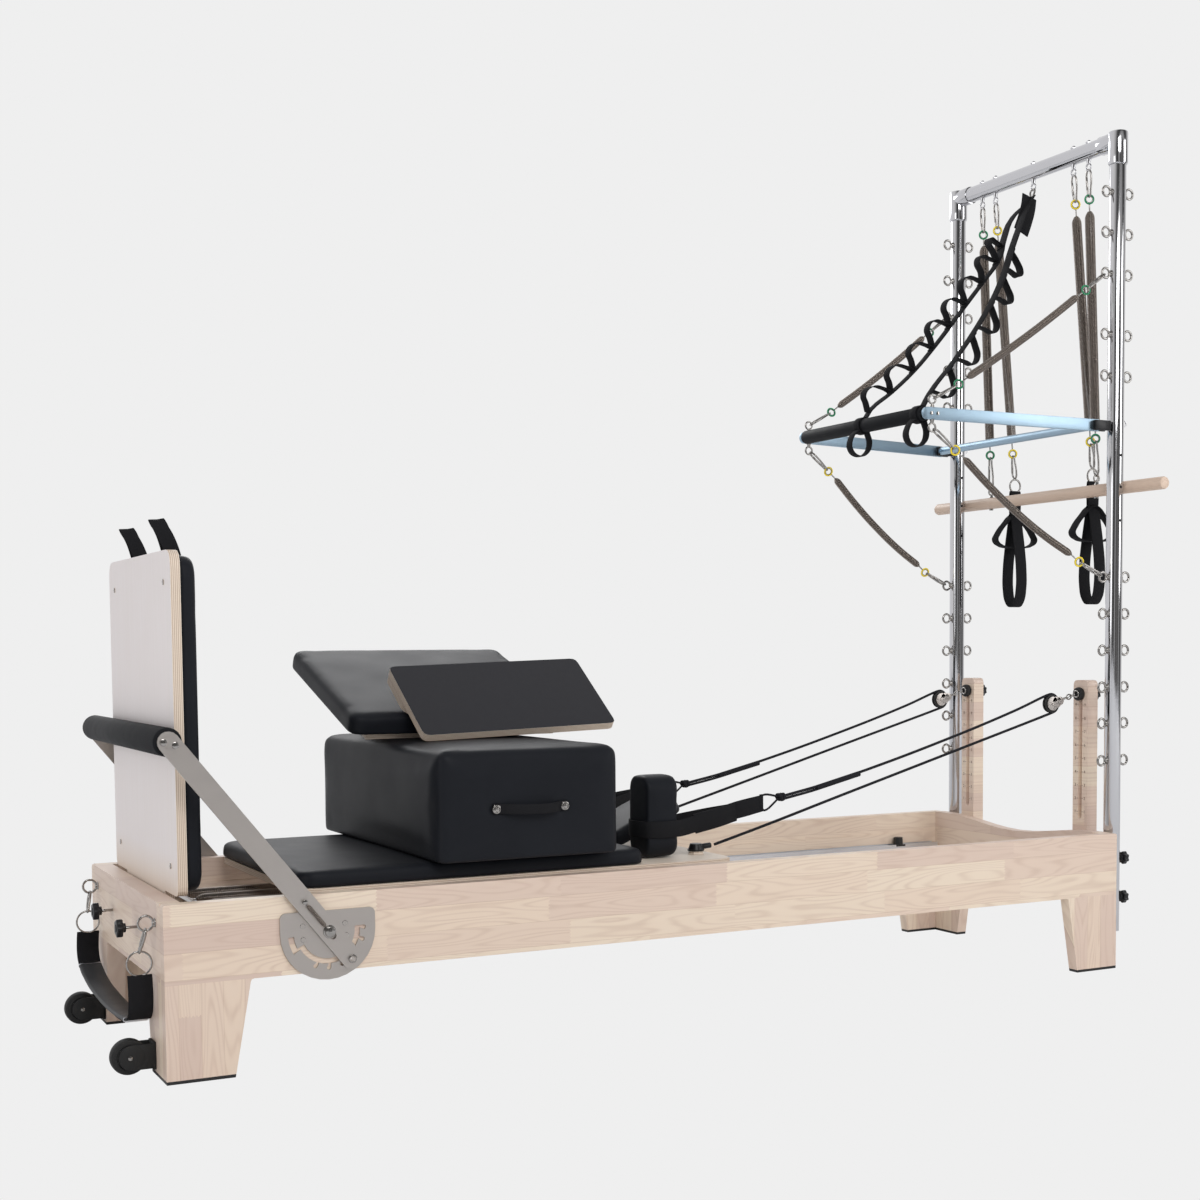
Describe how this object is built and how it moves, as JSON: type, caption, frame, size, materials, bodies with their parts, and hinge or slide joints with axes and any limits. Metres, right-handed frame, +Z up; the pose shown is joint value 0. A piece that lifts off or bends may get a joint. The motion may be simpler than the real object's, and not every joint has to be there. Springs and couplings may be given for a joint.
{
  "type": "pilates tower unit",
  "caption": "Wooden reformer bed on tapered legs with sliding padded carriage, foot bar, jump board and box, and a tube tower at its head end carrying springs, bars and straps",
  "frame": {"origin": "on the floor under the middle of the whole object", "axes": "+X runs from the foot end of the bed to the tower at its head end, +Y from the near side to the far side, +Z up"},
  "size_m": [2.6622, 0.92, 2.128],
  "materials": {
    "maple": "satin lacquer",
    "plywood": "satin lacquer",
    "ash": "satin lacquer",
    "chrome": "polished",
    "steel": "brushed",
    "spring_steel": "bright drawn wire",
    "pale_aluminium": "satin anodised",
    "vinyl": "matt grained vinyl",
    "foam": "matt foam",
    "webbing": "woven",
    "plastic": "moulded"
  },
  "bodies": {
    "frame": {"side_frame_near": "maple", "side_frame_far": "maple", "foot_end_rail": "maple", "head_end_rail": "maple", "riser_near": "maple", "riser_far": "maple", "spring_bar": "chrome", "ratchet_plate_near": "steel", "ratchet_plate_far": "steel", "caster_bracket_near": "plastic", "caster_bracket_far": "plastic", "tower_upright_near": "chrome", "tower_upright_far": "chrome", "tower_crossbar": "chrome", "foot_strap": "webbing", "ladder_strap": "webbing", "carriage_springs": "spring_steel", "bar_spring_upper_near": "spring_steel", "bar_spring_upper_far": "spring_steel", "bar_spring_lower_near": "spring_steel", "bar_spring_lower_far": "spring_steel", "roll_bar_spring_near": "spring_steel", "roll_bar_spring_far": "spring_steel", "hand_loop_spring_near": "spring_steel", "hand_loop_spring_far": "spring_steel"},
    "foot_bar_pivots": {"footbar_pivot_near": "chrome", "footbar_pivot_far": "chrome"},
    "foot_bar": {"footbar_arms": "steel", "footbar_grip": "foam"},
    "jump_board": {"jump_board_panel": "plywood", "jump_board_pad": "vinyl"},
    "carriage": {"carriage_board": "plywood", "carriage_pad": "vinyl", "shoulder_rest_near": "vinyl", "shoulder_rest_far": "vinyl", "rope_near": "webbing", "rope_far": "webbing", "rope_strap_near": "webbing", "rope_strap_far": "webbing"},
    "foot_axle": {"carriage_wheels_foot": "plastic"},
    "head_axle": {"carriage_wheels_head": "plastic"},
    "headrest": {"headrest": "vinyl"},
    "sitting_box": {"sitting_box": "vinyl"},
    "extension_pad": {"extension_pad": "vinyl"},
    "standing_platform": {"standing_platform": "plywood"},
    "push_through_bar": {"push_through_bar": "pale_aluminium", "push_through_grip": "foam"},
    "roll_down_bar": {"roll_down_bar": "ash"},
    "transport_wheel_near": {"caster_wheel_near": "plastic"},
    "foot_knob_near": {"foot_end_knob_near": "plastic"},
    "hand_loop_near": {"hand_loop_near": "webbing"},
    "pulley_near": {"pulley_block_near": "chrome"},
    "sheave_near": {"sheave_near": "plastic"},
    "riser_knob_near": {"riser_knob_near": "plastic"},
    "transport_wheel_far": {"caster_wheel_far": "plastic"},
    "foot_knob_far": {"foot_end_knob_far": "plastic"},
    "hand_loop_far": {"hand_loop_far": "webbing"},
    "pulley_far": {"pulley_block_far": "chrome"},
    "sheave_far": {"sheave_far": "plastic"},
    "riser_knob_far": {"riser_knob_far": "plastic"}
  },
  "joints": [
    {"name": "carriage_slide", "type": "slide", "parent": "frame", "child": "carriage", "axis": [1, 0, 0], "range_m": [0, 0.86], "deforming": ["carriage_springs", "rope_near", "rope_far"]},
    {"name": "foot_axle_spin", "type": "hinge", "parent": "carriage", "child": "foot_axle", "pos_m": [-0.76648, 0, 0.2863], "axis": [0, 1, 0], "continuous": true},
    {"name": "head_axle_spin", "type": "hinge", "parent": "carriage", "child": "head_axle", "pos_m": [-0.12648, 0, 0.2863], "axis": [0, 1, 0], "continuous": true},
    {"name": "headrest_tilt", "type": "hinge", "parent": "carriage", "child": "headrest", "pos_m": [-0.14648, 0, 0.3563], "axis": [0, 1, 0], "range_deg": [0, 24]},
    {"name": "sitting_box_lift", "type": "slide", "parent": "carriage", "child": "sitting_box", "axis": [0, 0, 1], "range_m": [0, 0.3]},
    {"name": "extension_pad_lift", "type": "slide", "parent": "sitting_box", "child": "extension_pad", "axis": [0, 0, 1], "range_m": [0, 0.3]},
    {"name": "standing_platform_lift", "type": "slide", "parent": "extension_pad", "child": "standing_platform", "axis": [0, 0, 1], "range_m": [0, 0.3]},
    {"name": "jump_board_lift", "type": "slide", "parent": "frame", "child": "jump_board", "axis": [0, 0, 1], "range_m": [0, 0.15]},
    {"name": "foot_bar_swing", "type": "hinge", "parent": "frame", "child": "foot_bar_pivots", "pos_m": [-0.92488, 0, 0.2724], "axis": [0, 1, 0], "range_deg": [-53.6, 0]},
    {"name": "foot_bar_lift", "type": "slide", "parent": "foot_bar_pivots", "child": "foot_bar", "axis": [-0.6209, 0, 0.7839], "range_m": [0, 0.012], "stiffness_N_per_m": 2000, "springref_m": -0.01, "deforming": ["footbar_pivot_near", "footbar_pivot_far"]},
    {"name": "push_through_swing", "type": "hinge", "parent": "frame", "child": "push_through_bar", "pos_m": [1.14452, 0, 1.384], "axis": [0, 1, 0], "range_deg": [-55, 60], "stiffness_Nm_per_rad": 60, "springref_deg": 8.59, "deforming": ["bar_spring_upper_near", "bar_spring_upper_far", "bar_spring_lower_near", "bar_spring_lower_far", "ladder_strap"]},
    {"name": "roll_bar_pull", "type": "slide", "parent": "frame", "child": "roll_down_bar", "axis": [0, 0, -1], "range_m": [0, 0.19], "stiffness_N_per_m": 120, "springref_m": -0.08, "deforming": ["roll_bar_spring_near", "roll_bar_spring_far", "hand_loop_near", "hand_loop_far"]},
    {"name": "hand_loop_near_pull", "type": "slide", "parent": "frame", "child": "hand_loop_near", "axis": [0.45, 0, -0.893], "range_m": [0, 0.5], "stiffness_N_per_m": 60, "springref_m": -0.08, "deforming": ["hand_loop_spring_near"]},
    {"name": "transport_wheel_near_spin", "type": "hinge", "parent": "frame", "child": "transport_wheel_near", "pos_m": [-1.29648, -0.262, 0.04], "axis": [0, 1, 0], "continuous": true},
    {"name": "foot_knob_near_turn", "type": "hinge", "parent": "frame", "child": "foot_knob_near", "pos_m": [-1.27648, -0.13, 0.273], "axis": [1, 0, 0], "continuous": true},
    {"name": "pulley_near_height", "type": "slide", "parent": "frame", "child": "pulley_near", "axis": [0, 0, -1], "range_m": [0, 0.3], "deforming": ["rope_near"]},
    {"name": "sheave_near_spin", "type": "hinge", "parent": "pulley_near", "child": "sheave_near", "pos_m": [1.05352, -0.233, 0.678], "axis": [0, 1, 0], "continuous": true},
    {"name": "riser_knob_near_turn", "type": "hinge", "parent": "pulley_near", "child": "riser_knob_near", "pos_m": [1.19852, -0.233, 0.701], "axis": [1, 0, 0], "continuous": true},
    {"name": "hand_loop_far_pull", "type": "slide", "parent": "frame", "child": "hand_loop_far", "axis": [0.45, 0, -0.893], "range_m": [0, 0.5], "stiffness_N_per_m": 60, "springref_m": -0.08, "deforming": ["hand_loop_spring_far"]},
    {"name": "transport_wheel_far_spin", "type": "hinge", "parent": "frame", "child": "transport_wheel_far", "pos_m": [-1.29648, 0.262, 0.04], "axis": [0, 1, 0], "continuous": true},
    {"name": "foot_knob_far_turn", "type": "hinge", "parent": "frame", "child": "foot_knob_far", "pos_m": [-1.27648, 0.13, 0.273], "axis": [1, 0, 0], "continuous": true},
    {"name": "pulley_far_height", "type": "slide", "parent": "frame", "child": "pulley_far", "axis": [0, 0, -1], "range_m": [0, 0.3], "deforming": ["rope_far"]},
    {"name": "sheave_far_spin", "type": "hinge", "parent": "pulley_far", "child": "sheave_far", "pos_m": [1.05352, 0.233, 0.678], "axis": [0, 1, 0], "continuous": true},
    {"name": "riser_knob_far_turn", "type": "hinge", "parent": "pulley_far", "child": "riser_knob_far", "pos_m": [1.19852, 0.233, 0.701], "axis": [1, 0, 0], "continuous": true}
  ],
  "couplings": [
    {"joint": "foot_axle_spin", "follows": "carriage_slide", "rad_per_m": 33.333},
    {"joint": "head_axle_spin", "follows": "carriage_slide", "rad_per_m": 33.333}
  ]
}
